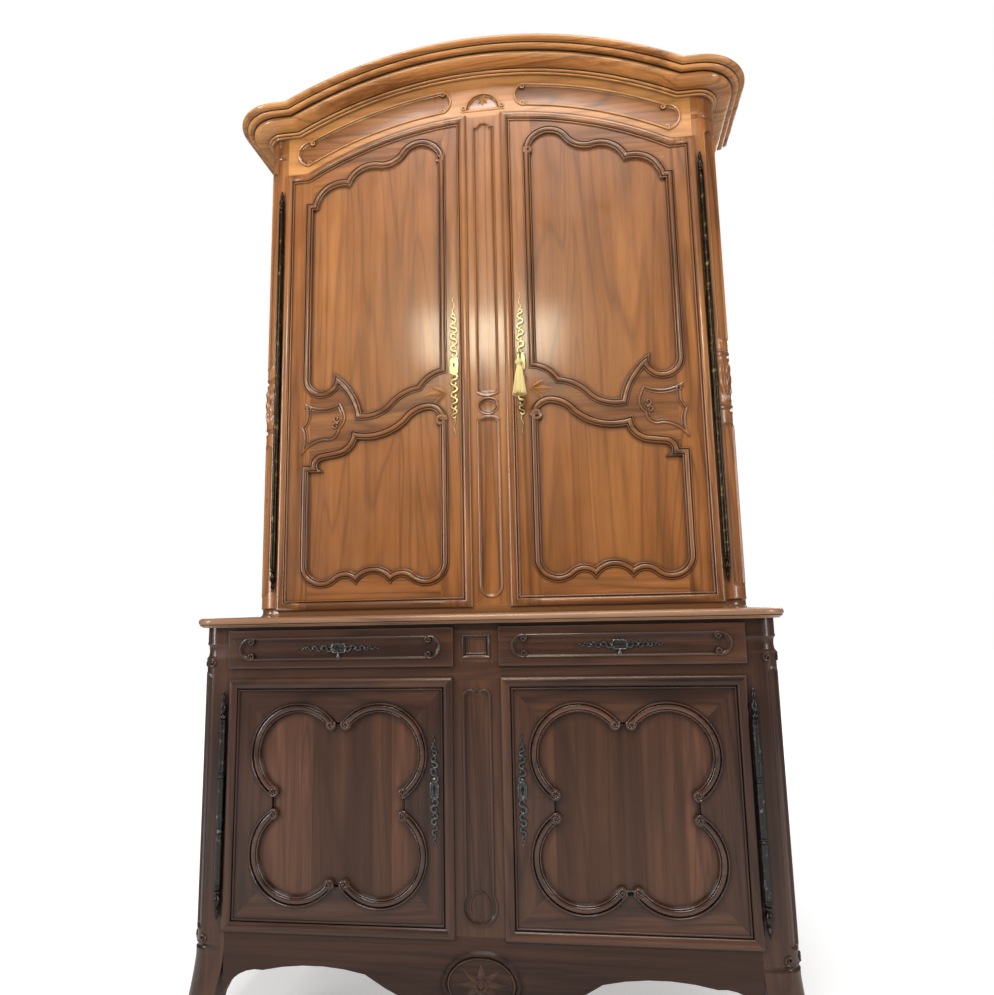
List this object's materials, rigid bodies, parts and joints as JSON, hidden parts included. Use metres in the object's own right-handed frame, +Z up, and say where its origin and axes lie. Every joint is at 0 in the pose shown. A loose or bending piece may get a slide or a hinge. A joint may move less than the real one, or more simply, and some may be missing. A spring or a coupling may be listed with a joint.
{
  "type": "two-part cupboard",
  "caption": "Tall carved two-part cupboard: a lower case with doors and drawers under a moulded slab, and a set-back upper case with scalloped-panel doors under an arched cornice.",
  "frame": {"origin": "middle of the bounding box, on the floor", "axes": "+X to the right, +Y to the back, +Z up; the doors face -Y"},
  "size_m": [1.704, 0.7, 2.8711],
  "materials": {
    "walnut_upper": "honey-brown walnut, waxed to a shine",
    "walnut_lower": "darker red-brown walnut, waxed",
    "inside_wood": "plain sawn wood, unpolished",
    "brass": "old brass, worn bright",
    "dark_iron": "dark wrought iron",
    "hinge_iron": "worn iron with a brown patina",
    "tassel_silk": "golden silk fringe"
  },
  "bodies": {
    "case": {"upper_left_post": "walnut_upper", "upper_right_post": "walnut_upper", "upper_base_rail": "walnut_upper", "frieze_rail": "walnut_upper", "upper_centre_stile": "walnut_upper", "upper_side_rails": "walnut_upper", "upper_side_panels": "walnut_upper", "cornice": "walnut_upper", "lower_left_post": "walnut_lower", "lower_right_post": "walnut_lower", "apron": "walnut_lower", "lower_mid_rail": "walnut_lower", "lower_top_rail": "walnut_lower", "lower_centre_stile": "walnut_lower", "drawer_divider": "walnut_lower", "lower_side_rails": "walnut_lower", "lower_side_panels": "walnut_lower", "top_slab": "walnut_lower", "lower_rear_posts": "inside_wood", "upper_rear_posts": "inside_wood", "lower_back": "inside_wood", "upper_back": "inside_wood", "lower_floor": "inside_wood", "lower_shelf": "inside_wood", "drawer_runners": "inside_wood", "upper_floor": "inside_wood", "upper_roof": "inside_wood", "upper_shelves": "inside_wood", "upper_post_hinges": "hinge_iron", "lower_post_hinges": "hinge_iron"},
    "upper_left_door": {"upper_left_door_frame": "walnut_upper", "upper_left_door_panels": "walnut_upper", "upper_left_door_hinge": "hinge_iron", "upper_left_lock": "dark_iron", "upper_left_escutcheon": "brass"},
    "upper_left_bolt": {"upper_left_bolt": "dark_iron"},
    "upper_right_door": {"upper_right_door_frame": "walnut_upper", "upper_right_door_panels": "walnut_upper", "upper_right_door_hinge": "hinge_iron", "upper_right_lock": "dark_iron", "upper_right_escutcheon": "brass"},
    "upper_right_bolt": {"upper_right_bolt": "dark_iron"},
    "lower_left_door": {"lower_left_door_frame": "walnut_lower", "lower_left_door_panel": "walnut_lower", "lower_left_door_hinge": "hinge_iron", "lower_left_lock": "dark_iron"},
    "lower_left_bolt": {"lower_left_bolt": "dark_iron"},
    "lower_right_door": {"lower_right_door_frame": "walnut_lower", "lower_right_door_panel": "walnut_lower", "lower_right_door_hinge": "hinge_iron", "lower_right_lock": "dark_iron"},
    "lower_right_bolt": {"lower_right_bolt": "dark_iron"},
    "left_drawer": {"left_drawer_front": "walnut_lower", "left_drawer_box": "inside_wood", "left_drawer_lock": "dark_iron"},
    "right_drawer": {"right_drawer_front": "walnut_lower", "right_drawer_box": "inside_wood", "right_drawer_lock": "dark_iron"},
    "key": {"key": "dark_iron"},
    "tassel": {"tassel": "tassel_silk"}
  },
  "joints": [
    {"name": "upper_left_door_hinge", "type": "hinge", "parent": "case", "child": "upper_left_door", "pos_m": [-0.687, -0.017, 1.7865], "axis": [0, 0, -1], "range_deg": [0, 150]},
    {"name": "upper_left_bolt_slide", "type": "slide", "parent": "upper_left_door", "child": "upper_left_bolt", "axis": [1, 0, 0], "range_m": [0, 0.014]},
    {"name": "upper_right_door_hinge", "type": "hinge", "parent": "case", "child": "upper_right_door", "pos_m": [0.687, -0.017, 1.7865], "axis": [0, 0, 1], "range_deg": [0, 150]},
    {"name": "upper_right_bolt_slide", "type": "slide", "parent": "upper_right_door", "child": "upper_right_bolt", "axis": [-1, 0, 0], "range_m": [0, 0.014]},
    {"name": "lower_left_door_hinge", "type": "hinge", "parent": "case", "child": "lower_left_door", "pos_m": [-0.67, -0.329, 0.5735], "axis": [0, 0, -1], "range_deg": [0, 150]},
    {"name": "lower_left_bolt_slide", "type": "slide", "parent": "lower_left_door", "child": "lower_left_bolt", "axis": [1, 0, 0], "range_m": [0, 0.014]},
    {"name": "lower_right_door_hinge", "type": "hinge", "parent": "case", "child": "lower_right_door", "pos_m": [0.67, -0.329, 0.5735], "axis": [0, 0, 1], "range_deg": [0, 150]},
    {"name": "lower_right_bolt_slide", "type": "slide", "parent": "lower_right_door", "child": "lower_right_bolt", "axis": [-1, 0, 0], "range_m": [0, 0.014]},
    {"name": "left_drawer_slide", "type": "slide", "parent": "case", "child": "left_drawer", "axis": [0, -1, 0], "range_m": [0, 0.42]},
    {"name": "right_drawer_slide", "type": "slide", "parent": "case", "child": "right_drawer", "axis": [0, -1, 0], "range_m": [0, 0.42]},
    {"name": "key_turn", "type": "hinge", "parent": "upper_right_door", "child": "key", "pos_m": [0.106, -0.018, 1.811], "axis": [0, 1, 0], "range_deg": [0, 360]},
    {"name": "tassel_swing", "type": "hinge", "parent": "upper_right_door", "child": "tassel", "pos_m": [0.106, -0.078, 1.811], "axis": [0, 1, 0], "range_deg": [-40, 40]}
  ],
  "couplings": [
    {"joint": "upper_right_bolt_slide", "follows": "key_turn", "m_per_rad": 0.002228}
  ]
}
